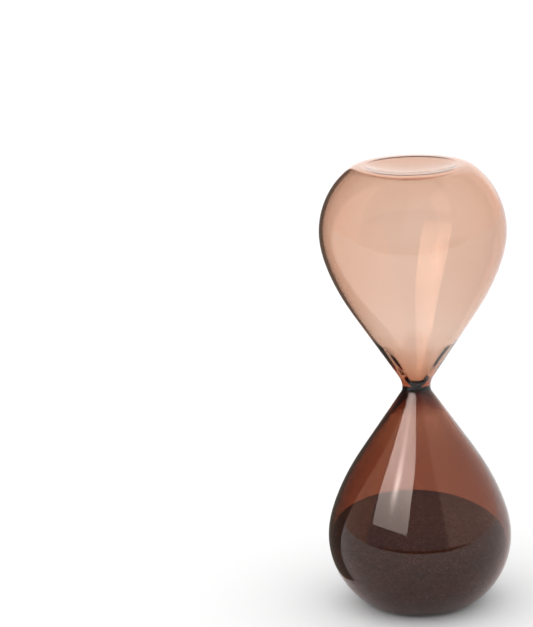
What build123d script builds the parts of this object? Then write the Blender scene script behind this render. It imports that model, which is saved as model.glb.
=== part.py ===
from build123d import *
import os
from math import cos, radians, sin, sqrt, tan

# A frameless two-colour sandglass. Two thin blown bulbs are fused neck to neck round a tiny
# orifice. Each end is pushed in to a dimple, and the ring round the dimple is the foot.
# Millimetres, +Z up, origin at the middle of the lower foot ring.

# Driving dimensions
total_height = 150.0
wall = 1.2
waist_radius = 4.7  # outside radius of the glass at the joint
orifice_radius = 0.6
land_width = 1.0  # flat annulus on each foot ring
lip_radius = 4.0  # rounding from the foot ring into the dimple

# Outside profile of each bulb, from the joint to the foot ring. Each angle is the slope of the
# profile away from the axis where an arc ends: positive opens the bulb, negative closes it.
# The dimple angle is the steepest slope of the dimple's side, from the level.
# Inside, a straight bore opens into a cone, and the wall is thin from the taper height on.
pale_bulb = {
    "fillet_radius": 6.7,
    "cone_angle": 33.5,
    "flank_radius": 71.0,
    "flank_end": 16.8,
    "body_radius": 26.5,
    "body_end": -50.8,
    "shoulder_radius": 7.4,
    "dimple_angle": 18.5,
    "bore_length": 0.8,
    "taper_height": 13.0,
}
dark_bulb = {
    "fillet_radius": 3.2,
    "cone_angle": 34.3,
    "flank_radius": 79.0,
    "flank_end": 17.3,
    "body_radius": 26.8,
    "body_end": -52.7,
    "shoulder_radius": 10.4,
    "dimple_angle": 33.0,
    "bore_length": 0.8,
    "taper_height": 8.0,
}

# Filling hole in the lower bulb's dimple, and the bead of glass that closes it
hole_radius = 2.0
seal_radius = 3.4
seal_crown = 1.2
seal_recess = 0.1  # the bead's inner end stops short of the sand

# Sand: a gently domed surface that leans
sand_clearance = 0.06
sand_height = 30.0  # on the axis
crown_radius = 75.0
lean_back = 9.5  # degrees, rising towards +Y
lean_left = 3.6  # degrees, rising towards -X

bulb_height = total_height / 2


def flank_length(bulb):
    """Length of the straight flank that brings a bulb to its full height."""
    slope = sin(radians(bulb["cone_angle"]))
    turn = sin(radians(bulb["flank_end"]))
    close = sin(radians(bulb["body_end"]))
    curved = bulb["fillet_radius"] * slope
    curved += bulb["flank_radius"] * (slope - turn)
    curved += bulb["body_radius"] * (turn - close)
    curved += bulb["shoulder_radius"] * (close + 1)
    return (bulb_height - curved) / cos(radians(bulb["cone_angle"]))


def draw_closed_end(bulb, start, direction, inset):
    """Draw the arcs from the end of the flank over the foot ring to the axis."""
    flank_turn = bulb["cone_angle"] - bulb["flank_end"]
    body_turn = bulb["flank_end"] - bulb["body_end"]
    shoulder_turn = 90 + bulb["body_end"]
    flank = JernArc(start, direction, bulb["flank_radius"] - inset, flank_turn)
    body = JernArc(flank @ 1, flank % 1, bulb["body_radius"] - inset, body_turn)
    shoulder = JernArc(body @ 1, body % 1, bulb["shoulder_radius"] - inset, shoulder_turn)
    land = PolarLine(shoulder @ 1, land_width, 180)
    lip = JernArc(land @ 1, land % 1, lip_radius - inset, bulb["dimple_angle"])
    bowl_radius = (lip @ 1).X / sin(radians(bulb["dimple_angle"]))
    return JernArc(lip @ 1, lip % 1, bowl_radius, -bulb["dimple_angle"])


def draw_glass(bulb):
    """Half-section of a bulb as if it were solid, with the joint at height 0."""
    neck = JernArc((waist_radius, 0), (0, 1), bulb["fillet_radius"], -bulb["cone_angle"])
    flank = PolarLine(neck @ 1, flank_length(bulb), 90 - bulb["cone_angle"])
    bowl = draw_closed_end(bulb, flank @ 1, flank % 1, 0)
    Polyline(bowl @ 1, (0, 0), (waist_radius, 0))
    return bowl


def draw_hollow(bulb, inset):
    """Half-section of the space inside a bulb, inset from the outside of the glass."""
    slope = radians(bulb["cone_angle"])
    neck_radius = waist_radius + bulb["fillet_radius"] * (1 - cos(slope))
    neck_height = bulb["fillet_radius"] * sin(slope)
    length = flank_length(bulb)
    shift = Vector(-inset * cos(slope), inset * sin(slope))
    flank_end = Vector(neck_radius + length * sin(slope), neck_height + length * cos(slope)) + shift
    taper_radius = neck_radius + (bulb["taper_height"] - neck_height) * tan(slope)
    taper_end = Vector(taper_radius, bulb["taper_height"]) + shift
    bore = orifice_radius + wall - inset
    Polyline((0, 0), (bore, 0), (bore, bulb["bore_length"]), taper_end, flank_end)
    bowl = draw_closed_end(bulb, flank_end, (sin(slope), cos(slope)), inset)
    Line(bowl @ 1, (0, 0))


# The upper bulb's half-section stands on the joint, and the lower bulb's hangs from it.
upright = Plane((0, 0, bulb_height), x_dir=(1, 0, 0), z_dir=(0, -1, 0))
hanging = Plane((0, 0, bulb_height), x_dir=(1, 0, 0), z_dir=(0, 1, 0))

with BuildPart() as upper_bulb:
    with BuildSketch(upright):
        with BuildLine():
            draw_glass(pale_bulb)
        make_face()
    revolve(axis=Axis.Z)
    with BuildSketch(upright):
        with BuildLine():
            draw_hollow(pale_bulb, wall)
        make_face()
    revolve(axis=Axis.Z, mode=Mode.SUBTRACT)
upper_bulb.part.label = "upper_bulb"

with BuildPart() as lower_bulb:
    with BuildSketch(hanging):
        with BuildLine():
            bowl = draw_glass(dark_bulb)
        make_face()
    revolve(axis=Axis.Z)
    with BuildSketch(hanging):
        with BuildLine():
            draw_hollow(dark_bulb, wall)
        make_face()
    revolve(axis=Axis.Z, mode=Mode.SUBTRACT)
    hole_align = (Align.CENTER, Align.CENTER, Align.MIN)
    Cylinder(hole_radius, bulb_height / 2, align=hole_align, mode=Mode.SUBTRACT)
lower_bulb.part.label = "lower_bulb"

# The bead fills the hole and spreads over the bowl of the dimple round it.
dimple_depth = bulb_height - (bowl @ 1).Y
bowl_radius = bowl.radius
bead_sink = bowl_radius - sqrt(bowl_radius**2 - seal_radius**2)

with BuildPart() as fill_seal:
    with BuildSketch(Plane.XZ):
        with BuildLine():
            rim = (seal_radius, dimple_depth - bead_sink)
            crown = (0, dimple_depth - seal_crown)
            inner_end = dimple_depth + wall - seal_recess
            TangentArc(crown, rim, tangent=(1, 0))
            Polyline(rim, (hole_radius, dimple_depth), (hole_radius, inner_end), (0, inner_end), crown)
        make_face()
    revolve(axis=Axis.Z)
    add(lower_bulb.part, mode=Mode.SUBTRACT)
fill_seal.part.label = "fill_seal"

with BuildPart() as sand:
    with BuildSketch(hanging):
        with BuildLine():
            draw_hollow(dark_bulb, wall + sand_clearance)
        make_face()
    revolve(axis=Axis.Z)
    crown_normal = Vector(sin(radians(lean_left)), -sin(radians(lean_back)))
    crown_normal += Vector(0, 0, sqrt(1 - crown_normal.length**2))
    with Locations(Vector(0, 0, sand_height) - crown_radius * crown_normal):
        Sphere(crown_radius, mode=Mode.INTERSECT)
sand.part.label = "sand"

print(f"sand: {sand.part.volume / 1000:.1f} cm3")
print(f"dimple depth: {dimple_depth:.2f} mm")

os.makedirs("parts", exist_ok=True)
for piece in (upper_bulb, lower_bulb, fill_seal, sand):
    export_step(piece.part, f"parts/{piece.part.label}.step")
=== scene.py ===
from math import ceil, cos, exp, pi, radians, sin, sqrt

import bmesh
import bpy
import numpy as np
from mathutils import Matrix, Vector, noise


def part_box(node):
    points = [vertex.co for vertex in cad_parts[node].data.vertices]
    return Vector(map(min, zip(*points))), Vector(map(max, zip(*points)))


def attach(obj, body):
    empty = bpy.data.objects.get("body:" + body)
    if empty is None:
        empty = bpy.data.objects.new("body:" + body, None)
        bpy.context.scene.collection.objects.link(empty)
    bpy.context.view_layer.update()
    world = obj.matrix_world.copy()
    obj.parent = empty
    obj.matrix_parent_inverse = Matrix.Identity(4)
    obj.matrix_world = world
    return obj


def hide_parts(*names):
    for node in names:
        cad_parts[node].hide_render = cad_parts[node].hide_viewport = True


# A frameless two-colour sandglass, standing on a white table in a photo studio.
# Half-sections are in millimetres, with the radius first and then the height over the joint.
# Everything else is in metres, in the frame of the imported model.

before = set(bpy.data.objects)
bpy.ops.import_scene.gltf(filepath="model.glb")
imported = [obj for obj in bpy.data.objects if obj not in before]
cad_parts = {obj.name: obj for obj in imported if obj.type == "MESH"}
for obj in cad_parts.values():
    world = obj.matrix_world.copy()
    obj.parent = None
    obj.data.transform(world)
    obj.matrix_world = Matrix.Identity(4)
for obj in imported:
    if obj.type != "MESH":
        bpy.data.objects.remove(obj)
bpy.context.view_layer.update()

MM = 0.001
SEGMENTS = 192  # round each revolved piece
STEP = 0.7  # between the points of a half-section
MELT_POINTS = 25  # along the curve from the bore into the cone
BORE_SHARES = (0.0, 0.35, 0.7)  # of the straight bore, where it has a ring
SEAL_POINTS = 18
ease_width = 3.5  # over which one arc of the side blends into the next
ease_start = 6.0  # height over the joint
ease_steepest = radians(40)
ease_shallowest = radians(-45)
ease_fade = radians(15)

upper_low, upper_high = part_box("upper_bulb")
joint_height = upper_low.z / MM
bulb_height = (upper_high.z - upper_low.z) / MM
belly_radius = upper_high.x / MM

# The glass, as the part has it
wall = 1.2
waist_radius = 4.7
orifice_radius = 0.6
land_width = 1.0
lip_radius = 4.0
hole_radius = 2.0
seal_radius = 3.4
seal_crown = 1.2
seal_recess = 0.1
pale_bulb = {
    "fillet_radius": 6.7,
    "cone": radians(33.5),
    "flank_radius": 71.0,
    "flank_end": radians(16.8),
    "body_radius": 26.5,
    "body_end": radians(-50.8),
    "shoulder_radius": 7.4,
    "dimple_slope": radians(18.5),
    "bore_length": 0.15,
    "taper_height": 16.0,
    "throat_reach": 0.6,
    "thinning": 0.33,
    "thin_height": 18.0,
}
dark_bulb = {
    "fillet_radius": 3.2,
    "cone": radians(34.3),
    "flank_radius": 79.0,
    "flank_end": radians(17.3),
    "body_radius": 26.8,
    "body_end": radians(-52.7),
    "shoulder_radius": 10.4,
    "dimple_slope": radians(33.0),
    "bore_length": 0.15,
    "taper_height": 8.0,
    "throat_reach": 0.6,
    "thinning": 0.27,
    "thin_height": 12.0,
}
joint_gap = 0.01  # each bulb stops this far from the joint, so their faces don't coincide

# How far the blown glass wanders from a true round, always inwards
wander = 0.10
sway_pitch = 9.0
streak_depth = 0.03  # the wall's thickness varies by this much
streak_pitch = 14.0
streak_twist = 1.7
streak_second = 0.6
streak_second_pitch = 8.0
throat_drift = 0.15  # the inside of the neck is off centre by this much, round throat_height
throat_height = 8.0
throat_spread = 7.0
fold_depth = 0.035  # soft folds that run up the cone from the throat
fold_count = 11
fold_height = 12.0
fold_spread = 6.0

# The sand, as the part has it
sand_clearance = 0.06
sand_height = 30.0
crown_radius = 75.0
lean_back = radians(9.5)
lean_left = radians(3.6)
sand_relief = 0.12
relief_coarse = 7.0
relief_fine = 1.6
relief_fine_share = 0.35
relief_fine_layer = 40.0
relief_edge_power = 6

SIDE_RINGS = 90
TOP_RINGS = 56
PALE_PHASE = 0.6
DARK_PHASE = 2.1
seal_tip = 0.25
seal_tip_radius = 0.8
seal_gap = 0.02
seal_bevel = 0.1
seal_round = 0.3
seal_core = 0.9

# Glass and sand. A tint is what a metre of the glass takes of red, green and blue.
glass_index = 1.47
pale_tint = (135.0, 310.0, 425.0)
dark_tint = (618.0, 1165.0, 1490.0)
wave_scale = 70.0  # faint waves in the glass, stretched along the axis
wave_stretch = 0.35
wave_strength = 0.25
wave_height = 0.00004
scuff_scale = 2600.0  # wear on the foot ring, between these two heights
scuff_top = 0.0005
scuff_bottom = 0.0001
scuff_roughness = 0.35
sand_colour = (0.215, 0.215, 0.215)
grain_scale = 2600.0
grain_share = 0.8
grain_height = 0.0001
grain_strength = 0.6
patch_scale = 180.0
patch_share = 0.3
dark_grain = (0.1, 0.65)  # place on the ramp, and share of the sand's colour
plain_grain = 0.75
# Painted glints: a few grains get a brighter colour that stands for glints on the sand.
painted_glint_grains = ((0.95, 1.5), (1.0, 2.6))
facet_start = 0.9
sand_roughness = 0.85
facet_roughness = 0.3

# Studio, in metres and radians. Azimuths are from the camera's side, positive to the right.
camera_place = Vector((0, -0.770, 0.297))
camera_lens = 138.3
camera_pan = radians(3.63)
camera_pitch = radians(14.24)
camera_roll = radians(-2.26)
backdrop_level = 1.0
room_light = 1.2
table_white = 0.93
table_edge = 0.40
table_side = 4.0
horizon_blend = 0.01
room_sides = (  # from one azimuth to another, in degrees, and the colour
    (-180, -150, (1.32, 1.3, 1.28)),
    (-150, -70, (1.0, 0.7, 0.55)),
    (-70, 35, (0.52, 0.5, 0.52)),
    (35, 150, (1.2, 0.98, 0.88)),
    (150, 180, (1.32, 1.3, 1.28)),
)
room_blend = 1  # degrees from each end of a side to its full colour
studio_floor = (0.26, 0.18, 0.14)
front_blend = (0.3, 0.7)  # how far a direction points to the front, as the dark floor fades in
overhead_start = radians(58)
overhead_end = radians(66)
overhead_colour = (0.28, 0.19, 0.15)
bulb_crossed = 3.5  # light has passed four surfaces once it has crossed the bulb
softbox_azimuth = radians(-40)
softbox_distance = 0.39
softbox_bottom = 0.14
softbox_width = 0.34
softbox_length = 0.55
softbox_lean = radians(27)
softbox_colour = (1.0, 0.85, 0.78)
softbox_level = 3.6
softbox_glow = 5.0
softbox_core = 12.5
softbox_inside_colour = (1.0, 1.0, 1.0)
softbox_inside_level = 2.1
softbox_inside_core = 3.5
softbox_core_width = 0.08
softbox_core_length = 0.13
softbox_core_place = 0.31
softbox_glow_length = 0.25
softbox_glow_place = 0.42
# Painted shade: a dimly glowing sheet beside the glass stands for the side of a box in shade, seen only in
# reflections.
shaded_side_corner = (-0.0355, -0.011)
shaded_side_azimuth = radians(-180)
shaded_side_length = 0.095
shaded_side_height = 0.3
shaded_side_glow_colour = (1.0, 0.87, 0.74)
shaded_side_glow_level = 0.16


# ---------------------------------------------------------------- half-sections


def add_arc(section, radius, end):
    """Continue a half-section along an arc to the slope end. A negative radius opens the bulb."""
    r, h, start = section[-1]
    count = max(6, ceil(abs(radius * (end - start)) / STEP))
    for slope in np.linspace(start, end, count + 1)[1:]:
        there = (r + radius * (cos(slope) - cos(start)), h - radius * (sin(slope) - sin(start)))
        section.append((*there, slope))


def add_line(section, length):
    """Continue a half-section straight on."""
    r, h, slope = section[-1]
    for run in np.linspace(0, length, ceil(length / STEP) + 1)[1:]:
        section.append((r + run * sin(slope), h + run * cos(slope), slope))


def outer_section(bulb):
    """Radius, height and slope along the outside of a bulb, from the joint to the axis."""
    curved = bulb["fillet_radius"] * sin(bulb["cone"])
    curved += bulb["flank_radius"] * (sin(bulb["cone"]) - sin(bulb["flank_end"]))
    curved += bulb["body_radius"] * (sin(bulb["flank_end"]) - sin(bulb["body_end"]))
    curved += bulb["shoulder_radius"] * (sin(bulb["body_end"]) + 1)
    section = [(waist_radius, 0.0, 0.0)]
    add_arc(section, -bulb["fillet_radius"], bulb["cone"])
    add_line(section, (bulb_height - curved) / cos(bulb["cone"]))
    add_arc(section, bulb["flank_radius"], bulb["flank_end"])
    add_arc(section, bulb["body_radius"], bulb["body_end"])
    add_arc(section, bulb["shoulder_radius"], -pi / 2)
    add_line(section, land_width)
    add_arc(section, lip_radius, -pi / 2 - bulb["dimple_slope"])
    add_arc(section, -section[-1][0] / sin(bulb["dimple_slope"]), -pi / 2)
    return eased(np.array(section))


def eased(section):
    """Blend the bend of one arc of the side into the next, as a bubble of glass does."""
    r, h, slope = section.T
    reach = np.arange(-3 * ease_width, 3 * ease_width + STEP, STEP)
    kernel = np.exp(-0.5 * (reach / ease_width) ** 2)
    padded = np.pad(slope, len(reach) // 2, mode="edge")
    smooth = np.convolve(padded, kernel / kernel.sum(), mode="valid")[: len(slope)]
    side = (slope < ease_steepest) & (slope > ease_shallowest)
    share = np.clip((h - ease_start) / ease_width, 0, 1) * side
    share *= np.clip((slope - ease_shallowest) / ease_fade, 0, 1)
    bent = slope + (smooth - slope) * share
    step = np.hypot(np.diff(r), np.diff(h))
    middle = (bent[1:] + bent[:-1]) / 2
    new_r = r[0] + np.concatenate([[0], np.cumsum(step * np.sin(middle))])
    new_h = h[0] + np.concatenate([[0], np.cumsum(step * np.cos(middle))])
    last = np.argmin(np.abs(slope + pi / 2))
    run = np.minimum(np.arange(len(r)) / last, 1)
    new_r += run * (r[last] - new_r[last])
    new_h += run * (h[last] - new_h[last])
    new_r[last:], new_h[last:] = r[last:], h[last:]
    return np.stack([np.minimum(new_r, r.max()), new_h, bent], 1)


def inner_section(bulb, outer, inset):
    """Radius and height along the inside, with the neck's cone melted into its bore."""
    r, h, slope = outer.T
    inside = np.stack([r - inset * np.cos(slope), h + inset * np.sin(slope)], 1)
    inside = inside[np.argmax(h > bulb["taper_height"]) :]
    bore = np.array([orifice_radius, joint_gap])
    throat = np.array([orifice_radius, bulb["bore_length"]])
    end = inside[0]
    lead = (end - throat) * (1 - bulb["throat_reach"])
    t = np.linspace(0, 1, MELT_POINTS)[1:-1, None]
    straight = bore + (throat - bore) * np.array(BORE_SHARES)[:, None]
    start = straight[-1]
    melt = (1 - t) ** 3 * start + 3 * (1 - t) ** 2 * t * throat
    melt += 3 * (1 - t) * t**2 * (end - lead) + t**3 * end
    section = np.concatenate([straight, melt, inside])
    place = (section[:, 1] / bulb["thin_height"]) ** 2
    section[:, 0] += bulb["thinning"] * place * np.exp(1 - place)
    return section


def blown(angle, r, h, phase):
    """The radius once the glass's slight wander is taken off it."""
    oval = 1 + np.cos(2 * (angle - phase))
    sway = 1 + np.sin(3 * angle + h / sway_pitch + phase)
    return r * (1 - wander * (oval + sway) / 4 / belly_radius)


def streaked(angle, r, h, phase):
    """The inside radius, where the wall is a little thicker and thinner in soft streaks."""
    streak = np.sin(5 * angle + streak_twist * np.sin(h / streak_pitch + phase))
    streak += streak_second * np.sin(2 * angle - h / streak_second_pitch)
    share = streak_depth * streak / (1 + streak_second) / belly_radius
    folds = fold_depth * np.exp(-(((h - fold_height) / fold_spread) ** 2))
    folds *= np.sin(fold_count * angle + np.sin(3 * angle))
    drift = throat_drift * np.exp(-(((h - throat_height) / throat_spread) ** 2)) * np.cos(angle)
    return blown(angle, r, h, phase) * (1 + share) + drift + folds


# ---------------------------------------------------------------- meshes


def spin(rings, place):
    """A mesh of rings of points. A ring of one point is a pole, and place puts a point in metres."""
    mesh = bmesh.new()
    made = []
    for ring in rings:
        made.append([mesh.verts.new(place(point)) for point in ring])
    for one, two in zip(made, made[1:]):
        count = max(len(one), len(two))
        for j in range(count):
            corners = [one[j % len(one)], one[(j + 1) % len(one)]]
            corners += [two[(j + 1) % len(two)], two[j % len(two)]]
            corners = list(dict.fromkeys(corners))
            mesh.faces.new(corners)
    return mesh, made


def piece(mesh, name, materials, stands_for):
    """Turn a finished mesh into a piece of the model that rides on the frame."""
    bmesh.ops.recalc_face_normals(mesh, faces=mesh.faces)
    for face in mesh.faces:
        face.smooth = True
    data = bpy.data.meshes.new(name)
    mesh.to_mesh(data)
    mesh.free()
    for material in materials:
        data.materials.append(material)
    thing = bpy.data.objects.new(name, data)
    bpy.context.scene.collection.objects.link(thing)
    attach(thing, "root")
    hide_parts(stands_for)
    return thing


def ring(r, h, shape, phase):
    """Points round the axis at one place along a half-section, or the pole on the axis."""
    if r < 1e-6:
        return [(0.0, 0.0, h)]
    turns = np.arange(SEGMENTS) * 2 * pi / SEGMENTS
    return [(radius * cos(a), radius * sin(a), h) for a, radius in zip(turns, shape(turns, r, h, phase))]


def place_upper(point):
    x, y, h = point
    return Vector((x, y, joint_height + h)) * MM


def place_lower(point):
    x, y, h = point
    return Vector((x, y, joint_height - h)) * MM


def place_standing(point):
    return Vector(point) * MM


def sharpen(mesh, rings):
    """Keep a crease along each of these rings."""
    for verts in rings:
        for one, two in zip(verts, verts[1:] + verts[:1]):
            mesh.edges.get((one, two)).smooth = False


def glass_rings(bulb, phase, last_radius):
    """Rings from the end of the outside, over the joint's flat face, to the end of the inside."""
    outer = outer_section(bulb)
    inner = inner_section(bulb, outer, wall)
    outer[0, 1] = joint_gap
    outer = outer[outer[:, 0] >= last_radius]
    inner = inner[(inner[:, 0] >= last_radius) | (inner[:, 1] < bulb_height / 2)]
    rings = [ring(r, h, blown, phase) for r, h, _ in outer[::-1]]
    rings += [ring(r, h, streaked, phase) for r, h in inner]
    return rings, len(outer)


def make_upper_bulb(materials):
    rings, outside = glass_rings(pale_bulb, PALE_PHASE, 0.0)
    mesh, made = spin(rings, place_upper)
    finish_bulb(mesh, made, outside)
    return piece(mesh, "upper_bulb_glass", materials, "upper_bulb")


def make_lower_bulb(materials):
    rings, outside = glass_rings(dark_bulb, DARK_PHASE, hole_radius)
    mesh, made = spin(rings + rings[:1], place_lower)
    bmesh.ops.remove_doubles(mesh, verts=made[0] + made[-1], dist=1e-7)
    made = [[vert for vert in verts if vert.is_valid] for verts in made]
    finish_bulb(mesh, made, outside)
    return piece(mesh, "lower_bulb_glass", materials, "lower_bulb")


def finish_bulb(mesh, made, outside):
    """Crease the joint's flat face, and give it the second material."""
    sharpen(mesh, made[outside - 1 : outside + 1])
    for face in mesh.faces:
        heights = [abs(vert.co.z / MM - joint_height) for vert in face.verts]
        if max(heights) < 2 * joint_gap:
            face.material_index = 1


def make_fill_seal(material):
    """The bead of glass that closes the filling hole, with a small pulled tip."""
    dimple_height = joint_height - outer_section(dark_bulb)[-1, 1]
    bowl = outer_section(dark_bulb)[::-1]
    under = [(r, joint_height - h) for r, h, _ in bowl if hole_radius < r < seal_radius]
    crown_height = dimple_height - seal_crown
    section = []
    for r in np.linspace(0, seal_radius, SEAL_POINTS):
        rise = (r / seal_radius) ** 2 * (under[-1][1] - crown_height)
        tip = seal_tip * (1 - exp(-((r / seal_tip_radius) ** 2)))
        section.append((r, crown_height + rise + tip))
    section[-1] = (seal_radius, under[-1][1] - seal_gap)
    section += [(r, z - seal_gap) for r, z in under[-2::-1]]
    neck = hole_radius - seal_gap
    top = dimple_height + wall - seal_recess
    section += [(neck, z) for z in np.linspace(dimple_height, top - seal_round, 4)]
    section += [(neck - seal_bevel, top - seal_bevel), (neck - seal_round, top)]
    section += [(seal_core, top), (0.0, top)]
    mesh, _ = spin([ring(r, z, blown, DARK_PHASE) for r, z in section], place_standing)
    return piece(mesh, "fill_seal_glass", [material], "fill_seal")


# ---------------------------------------------------------------- sand


def dome(x, y):
    """Height over the table of the sand's domed, leaning surface."""
    normal = np.array([sin(lean_left), -sin(lean_back)])
    normal = np.array([*normal, sqrt(1 - normal @ normal)])
    centre = np.array([0, 0, sand_height]) - crown_radius * normal
    return centre[2] + np.sqrt(crown_radius**2 - (x - centre[0]) ** 2 - (y - centre[1]) ** 2)


def relief(x, y, share):
    """The small unevenness of the sand's surface, which dies away at the glass."""
    coarse = noise.noise(Vector((x, y, 0.0)) / relief_coarse)
    fine = noise.noise(Vector((x, y, relief_fine_layer)) / relief_fine)
    return sand_relief * (coarse + relief_fine_share * fine) * (1 - share**relief_edge_power)


def sand_column(turn, side):
    """Points in one half-plane, from the middle of the surface down the wall to the axis."""
    r = streaked(turn, side[:, 0], side[:, 1], DARK_PHASE)
    z = joint_height - side[:, 1]
    over = z - dome(r * cos(turn), r * sin(turn))
    below = np.argmax(over < 0)
    contact = below - over[below] / (over[below] - over[below - 1])
    places = np.linspace(contact, len(side) - 1, SIDE_RINGS)
    indices = np.arange(len(side))
    wall_r = np.interp(places, indices, r)
    wall_z = np.interp(places, indices, z)
    column = []
    for share in np.linspace(0, 1, TOP_RINGS + 1)[:-1]:
        x, y = share * wall_r[0] * cos(turn), share * wall_r[0] * sin(turn)
        column.append((x, y, dome(x, y) + relief(x, y, share)))
    return column + [(p * cos(turn), p * sin(turn), q) for p, q in zip(wall_r, wall_z)]


def make_sand(material):
    side = inner_section(dark_bulb, outer_section(dark_bulb), wall + sand_clearance)
    columns = [sand_column(turn, side) for turn in np.arange(SEGMENTS) * 2 * pi / SEGMENTS]
    rings = [list(points) for points in zip(*columns)]
    rings[0] = rings[0][:1]
    rings[-1] = rings[-1][:1]
    mesh, _ = spin(rings, place_standing)
    return piece(mesh, "sand_fill", [material], "sand")


# ---------------------------------------------------------------- materials


def new_nodes(material):
    """Start a material, or the world, from no nodes, and return a node maker and a linker."""
    material.use_nodes = True
    tree = material.node_tree
    tree.nodes.clear()

    def node(kind, **values):
        made = tree.nodes.new(kind)
        for key, value in values.items():
            name = key.replace("_", " ")
            if name in made.inputs:
                made.inputs[name].default_value = value
            else:
                setattr(made, key, value)
        return made

    return node, tree.links.new


def absorb(node, tint):
    """Plain absorption, from what a metre of the glass takes of red, green and blue."""
    density = max(tint)
    return node("ShaderNodeVolumeAbsorption", Color=(*[1 - k / density for k in tint], 1), Density=density)


def glass_material(name, tint):
    """Clear tinted glass with faint waves from blowing, and a foot ring dulled by use."""
    material = bpy.data.materials.new(name)
    node, link = new_nodes(material)
    out = node("ShaderNodeOutputMaterial")
    shader = node("ShaderNodeBsdfPrincipled", IOR=glass_index, Roughness=0.0)
    shader.inputs["Base Color"].default_value = (1, 1, 1, 1)
    shader.inputs["Transmission Weight"].default_value = 1.0
    link(shader.outputs["BSDF"], out.inputs["Surface"])
    link(absorb(node, tint).outputs["Volume"], out.inputs["Volume"])

    place = node("ShaderNodeTexCoord")
    stretch = node("ShaderNodeMapping", Scale=(1, 1, wave_stretch))
    link(place.outputs["Object"], stretch.inputs["Vector"])
    waves = node("ShaderNodeTexNoise", Scale=wave_scale, Detail=1.0)
    link(stretch.outputs["Vector"], waves.inputs["Vector"])
    bump = node("ShaderNodeBump", Strength=wave_strength, Distance=wave_height)
    link(waves.outputs["Fac"], bump.inputs["Height"])
    link(bump.outputs["Normal"], shader.inputs["Normal"])

    scuffs = node("ShaderNodeTexNoise", Scale=scuff_scale, Detail=3.0)
    link(place.outputs["Object"], scuffs.inputs["Vector"])
    where = node("ShaderNodeSeparateXYZ")
    link(place.outputs["Object"], where.inputs["Vector"])
    foot = node("ShaderNodeMapRange")
    foot.inputs["From Min"].default_value = scuff_top
    foot.inputs["From Max"].default_value = scuff_bottom
    link(where.outputs["Z"], foot.inputs["Value"])
    dull = node("ShaderNodeMath", operation="MULTIPLY")
    link(scuffs.outputs["Fac"], dull.inputs[0])
    link(foot.outputs["Result"], dull.inputs[1])
    rough = node("ShaderNodeMath", operation="MULTIPLY")
    rough.inputs[1].default_value = scuff_roughness
    link(dull.outputs["Value"], rough.inputs[0])
    link(rough.outputs["Value"], shader.inputs["Roughness"])
    return material


def joint_material(name, tint):
    """The face where the bulbs are fused: light passes without a reflection."""
    material = bpy.data.materials.new(name)
    node, link = new_nodes(material)
    out = node("ShaderNodeOutputMaterial")
    link(node("ShaderNodeBsdfTransparent").outputs["BSDF"], out.inputs["Surface"])
    link(absorb(node, tint).outputs["Volume"], out.inputs["Volume"])
    return material


def sand_material():
    """Fine dark mineral sand, grain by grain, with a few glossy facets, and a few grains painted bright as
    glints.
    """
    material = bpy.data.materials.new("dark_sand")
    node, link = new_nodes(material)
    out = node("ShaderNodeOutputMaterial")
    shader = node("ShaderNodeBsdfPrincipled", IOR=1.5)
    link(shader.outputs["BSDF"], out.inputs["Surface"])
    place = node("ShaderNodeTexCoord")
    grains = node("ShaderNodeTexVoronoi", Scale=grain_scale)
    link(place.outputs["Object"], grains.inputs["Vector"])
    shade = node("ShaderNodeSeparateColor")
    link(grains.outputs["Color"], shade.inputs["Color"])
    patches = node("ShaderNodeTexNoise", Scale=patch_scale, Detail=4.0)
    link(place.outputs["Object"], patches.inputs["Vector"])
    mixed = node("ShaderNodeMath", operation="MULTIPLY_ADD")
    mixed.inputs[1].default_value = grain_share
    link(shade.outputs["Red"], mixed.inputs[0])
    soft = node("ShaderNodeMath", operation="MULTIPLY")
    soft.inputs[1].default_value = patch_share
    link(patches.outputs["Fac"], soft.inputs[0])
    link(soft.outputs["Value"], mixed.inputs[2])
    ramp = node("ShaderNodeValToRGB")
    stops = ramp.color_ramp.elements
    stops[0].position = dark_grain[0]
    stops[0].color = (*[c * dark_grain[1] for c in sand_colour], 1)
    stops[1].position = plain_grain
    stops[1].color = (*sand_colour, 1)
    # Painted glints: the brightest grains' colour stands for glints, not for lighter grains.
    for position, gain in painted_glint_grains:
        stop = stops.new(position)
        stop.color = (*[c * gain for c in sand_colour], 1)
    link(mixed.outputs["Value"], ramp.inputs["Fac"])
    link(ramp.outputs["Color"], shader.inputs["Base Color"])
    facets = node("ShaderNodeMapRange")
    facets.inputs["From Min"].default_value = facet_start
    facets.inputs["To Min"].default_value = sand_roughness
    facets.inputs["To Max"].default_value = facet_roughness
    link(shade.outputs["Green"], facets.inputs["Value"])
    link(facets.outputs["Result"], shader.inputs["Roughness"])
    bump = node("ShaderNodeBump", Strength=grain_strength, Distance=grain_height)
    link(grains.outputs["Distance"], bump.inputs["Height"])
    link(bump.outputs["Normal"], shader.inputs["Normal"])
    return material


# ---------------------------------------------------------------- studio


def reflected(node, link):
    """1 for light that has been reflected on its way to the camera, and 0 for the rest."""
    path = node("ShaderNodeLightPath")
    test = node("ShaderNodeMath", operation="GREATER_THAN")
    test.inputs[1].default_value = 0.5
    link(path.outputs["Glossy Depth"], test.inputs[0])
    return test.outputs["Value"]


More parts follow.
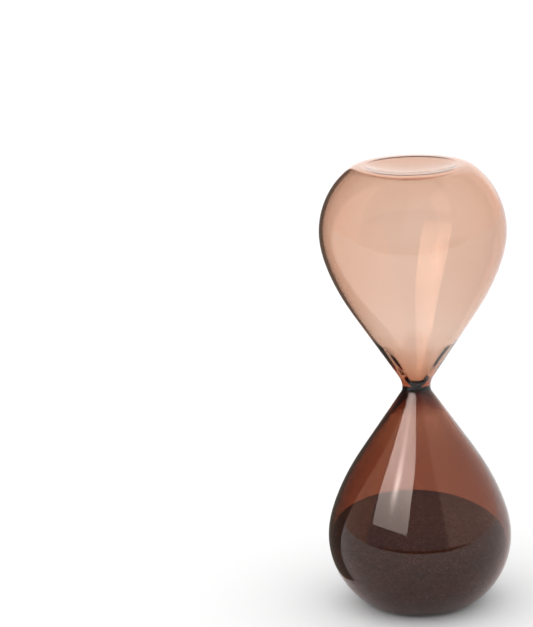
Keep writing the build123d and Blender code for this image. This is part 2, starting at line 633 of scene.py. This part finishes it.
def make_world():
    """A white backdrop. Reflections show a room whose sides, floor and ceiling differ instead."""
    world = bpy.data.worlds.new("studio")
    bpy.context.scene.world = world
    node, link = new_nodes(world)
    out = node("ShaderNodeOutputWorld")
    place = node("ShaderNodeTexCoord")
    split = node("ShaderNodeSeparateXYZ")
    link(place.outputs["Generated"], split.inputs["Vector"])
    back = node("ShaderNodeMath", operation="MULTIPLY")
    back.inputs[1].default_value = -1.0
    link(split.outputs["Y"], back.inputs[0])
    turn = node("ShaderNodeMath", operation="ARCTAN2")
    link(split.outputs["X"], turn.inputs[0])
    link(back.outputs["Value"], turn.inputs[1])
    share = node("ShaderNodeMapRange")
    share.inputs["From Min"].default_value = -pi
    share.inputs["From Max"].default_value = pi
    link(turn.outputs["Value"], share.inputs["Value"])
    ramp = node("ShaderNodeValToRGB")
    ramp.color_ramp.interpolation = "LINEAR"
    stops = ramp.color_ramp.elements
    while len(stops) > 1:
        stops.remove(stops[0])
    levels = []
    for start, end, colour in room_sides:
        levels += [(start + room_blend, colour), (end - room_blend, colour)]
    for index, (azimuth, colour) in enumerate(levels):
        stop = stops[0] if index == 0 else stops.new((azimuth + 180) / 360)
        stop.position = (azimuth + 180) / 360
        stop.color = (*colour, 1)
    link(share.outputs["Result"], ramp.inputs["Fac"])

    def blend(factor, one, other):
        mix = node("ShaderNodeMixRGB")
        for socket, value in zip(mix.inputs, (factor, one, other)):
            if isinstance(value, tuple):
                socket.default_value = (*value, 1)
            else:
                link(value, socket)
        return mix.outputs["Color"]

    def above(socket, low, high):
        step = node("ShaderNodeMapRange")
        step.inputs["From Min"].default_value = low
        step.inputs["From Max"].default_value = high
        link(socket, step.inputs["Value"])
        return step.outputs["Result"]

    def bounced(socket):
        return above(socket, 0.4, 0.6)

    height = split.outputs["Z"]
    path = node("ShaderNodeLightPath")
    floor = blend(above(back.outputs["Value"], *front_blend), ramp.outputs["Color"], studio_floor)
    walls = blend(above(height, -horizon_blend, 0.0), floor, ramp.outputs["Color"])
    room = blend(above(height, sin(overhead_start), sin(overhead_end)), walls, overhead_colour)
    seen = blend(bounced(path.outputs["Glossy Depth"]), (backdrop_level,) * 3, room)
    light = blend(bounced(path.outputs["Diffuse Depth"]), seen, (room_light,) * 3)
    shine = node("ShaderNodeBackground")
    link(light, shine.inputs["Color"])
    link(shine.outputs["Background"], out.inputs["Surface"])


def studio_sheet(name, corners, material):
    """A flat four-cornered sheet that belongs to the studio."""
    mesh = bmesh.new()
    mesh.faces.new([mesh.verts.new(corner) for corner in corners])
    uv = mesh.loops.layers.uv.new("UVMap")
    for face in mesh.faces:
        for loop, spot in zip(face.loops, ((0, 0), (1, 0), (1, 1), (0, 1))):
            loop[uv].uv = spot
    data = bpy.data.meshes.new(name)
    mesh.to_mesh(data)
    mesh.free()
    data.materials.append(material)
    thing = bpy.data.objects.new(name, data)
    bpy.context.scene.collection.objects.link(thing)
    return thing


def table_material(name, hidden):
    """Matt white laminate. The far part isn't there for light that the glass reflects."""
    material = bpy.data.materials.new(name)
    node, link = new_nodes(material)
    out = node("ShaderNodeOutputMaterial")
    white = node("ShaderNodeBsdfDiffuse", Color=(*[table_white] * 3, 1))
    if not hidden:
        link(white.outputs["BSDF"], out.inputs["Surface"])
        return material
    mix = node("ShaderNodeMixShader")
    link(reflected(node, link), mix.inputs[0])
    link(white.outputs["BSDF"], mix.inputs[1])
    link(node("ShaderNodeBsdfTransparent").outputs["BSDF"], mix.inputs[2])
    link(mix.outputs["Shader"], out.inputs["Surface"])
    return material


def make_table():
    near = table_material("table", False)
    far = table_material("table_beyond", True)
    side, edge = table_side, -table_edge
    studio_sheet("table_near", [(-side, edge, 0), (side, edge, 0), (side, side, 0), (-side, side, 0)], near)
    studio_sheet("table_far", [(-side, -side, 0), (side, -side, 0), (side, edge, 0), (-side, edge, 0)], far)


def softbox_material(colour, level, core, through_bulb):
    """A softbox's face, brighter round its middle, with the glow of the tube down its middle."""
    material = bpy.data.materials.new("softbox")
    node, link = new_nodes(material)
    out = node("ShaderNodeOutputMaterial")
    place = node("ShaderNodeTexCoord")
    split = node("ShaderNodeSeparateXYZ")
    link(place.outputs["UV"], split.inputs["Vector"])

    def calculate(operation, *values):
        made = node("ShaderNodeMath", operation=operation)
        for index, value in enumerate(values):
            if isinstance(value, float):
                made.inputs[index].default_value = value
            else:
                link(value, made.inputs[index])
        return made.outputs["Value"]

    def hump(socket, middle, spread):
        off = calculate("DIVIDE", calculate("SUBTRACT", socket, middle), spread)
        return calculate("EXPONENT", calculate("MULTIPLY", calculate("MULTIPLY", off, off), -1.0))

    across = hump(split.outputs["X"], 0.5, softbox_core_width)
    along = hump(split.outputs["Y"], softbox_core_place, softbox_core_length)
    glow = hump(split.outputs["Y"], softbox_glow_place, softbox_glow_length)
    glowing = calculate("MULTIPLY_ADD", glow, level * softbox_glow / softbox_level, level)
    total = calculate("MULTIPLY_ADD", calculate("MULTIPLY", across, along), core, glowing)
    shine = node("ShaderNodeEmission", Color=(*colour, 1))
    link(total, shine.inputs["Strength"])
    material.cycles.emission_sampling = "NONE"

    path = node("ShaderNodeLightPath")
    mirrored = calculate("GREATER_THAN", path.outputs["Glossy Depth"], 0.5)
    again = calculate("GREATER_THAN", path.outputs["Glossy Depth"], 1.5)
    side = "GREATER_THAN" if through_bulb else "LESS_THAN"
    limit = bulb_crossed if through_bulb else 0.5
    walls = calculate(side, path.outputs["Transmission Depth"], limit)
    shown = calculate("MAXIMUM", calculate("MULTIPLY", mirrored, walls), again)
    mix = node("ShaderNodeMixShader")
    link(shown, mix.inputs[0])
    link(node("ShaderNodeBsdfTransparent").outputs["BSDF"], mix.inputs[1])
    link(shine.outputs["Emission"], mix.inputs[2])
    link(mix.outputs["Shader"], out.inputs["Surface"])
    return material


def softbox_corners(pull):
    """The softbox stands to the left of the camera and leans in over the object."""
    low = softbox_distance - pull
    high = low - softbox_length * sin(softbox_lean)
    top = softbox_bottom + softbox_length * cos(softbox_lean)
    towards = Vector((sin(softbox_azimuth), -cos(softbox_azimuth), 0))
    across = Vector((cos(softbox_azimuth), sin(softbox_azimuth), 0)) * softbox_width / 2
    up = Vector((0, 0, 1))
    return [
        towards * low + up * softbox_bottom - across,
        towards * low + up * softbox_bottom + across,
        towards * high + up * top + across,
        towards * high + up * top - across,
    ]


def light_only(thing, *receivers):
    """Only these pieces catch the light of this sheet."""
    group = bpy.data.collections.new(thing.name + "_on")
    for receiver in receivers:
        group.objects.link(receiver)
    thing.light_linking.receiver_collection = group


def make_softbox(upper, lower):
    """One softbox. The dark bulb mirrors it in front, and the pale bulb shows it in its back wall."""
    face = softbox_material(softbox_colour, softbox_level, softbox_core, False)
    front = studio_sheet("softbox", softbox_corners(0), face)
    face = softbox_material(softbox_inside_colour, softbox_inside_level, softbox_inside_core, True)
    inside = studio_sheet("softbox_inside", softbox_corners(-MM), face)
    for sheet in (front, inside):
        sheet.visible_camera = False
        sheet.visible_diffuse = False
        sheet.visible_shadow = False
    light_only(front, lower)
    light_only(inside, upper)


def make_shaded_side_glow():
    """A dark, dimly glowing upright beside the glass, like a box on the same table, which only reflections
    show. The dim glow is painted shade, for the side of that box in shade.
    """
    material = bpy.data.materials.new("shaded_side_glow")
    node, link = new_nodes(material)
    out = node("ShaderNodeOutputMaterial")
    # Painted shade: the sheet's dim warm glow stands for the shaded side of a box.
    glow = node("ShaderNodeEmission", Color=(*shaded_side_glow_colour, 1), Strength=shaded_side_glow_level)
    mix = node("ShaderNodeMixShader")
    link(reflected(node, link), mix.inputs[0])
    link(node("ShaderNodeBsdfTransparent").outputs["BSDF"], mix.inputs[1])
    link(glow.outputs["Emission"], mix.inputs[2])
    link(mix.outputs["Shader"], out.inputs["Surface"])
    material.cycles.emission_sampling = "NONE"
    x, y = shaded_side_corner
    run = Vector((sin(shaded_side_azimuth), -cos(shaded_side_azimuth), 0)) * shaded_side_length
    low, up = Vector((x, y, 0)), Vector((0, 0, shaded_side_height))
    sheet = studio_sheet("shaded_side_glow", [low, low + run, low + run + up, low + up], material)
    sheet.visible_camera = False
    sheet.visible_diffuse = False
    sheet.visible_shadow = False


def make_camera():
    """Panned off the object, so that it stands to the right and below the middle of the frame."""
    camera = bpy.data.cameras.new("camera")
    camera.lens = camera_lens
    camera.clip_start, camera.clip_end = 0.01, 20.0
    thing = bpy.data.objects.new("camera", camera)
    bpy.context.scene.collection.objects.link(thing)
    turn = Matrix.Rotation(camera_pan, 4, "Z") @ Matrix.Rotation(pi / 2 - camera_pitch, 4, "X")
    thing.matrix_world = Matrix.Translation(camera_place) @ turn @ Matrix.Rotation(camera_roll, 4, "Z")
    bpy.context.scene.camera = thing


# ---------------------------------------------------------------- scene

scene = bpy.context.scene
scene.view_settings.view_transform = "Standard"
scene.cycles.max_bounces = 24
scene.cycles.transmission_bounces = 20
scene.cycles.glossy_bounces = 12
scene.cycles.transparent_max_bounces = 24

pale = [glass_material("pale_glass", pale_tint), joint_material("pale_joint", pale_tint)]
upper = make_upper_bulb(pale)
dark = [glass_material("dark_glass", dark_tint), joint_material("dark_joint", dark_tint)]
lower = make_lower_bulb(dark)
make_fill_seal(glass_material("seal_glass", dark_tint))
make_sand(sand_material())

make_world()
make_table()
make_softbox(upper, lower)
make_shaded_side_glow()
make_camera()
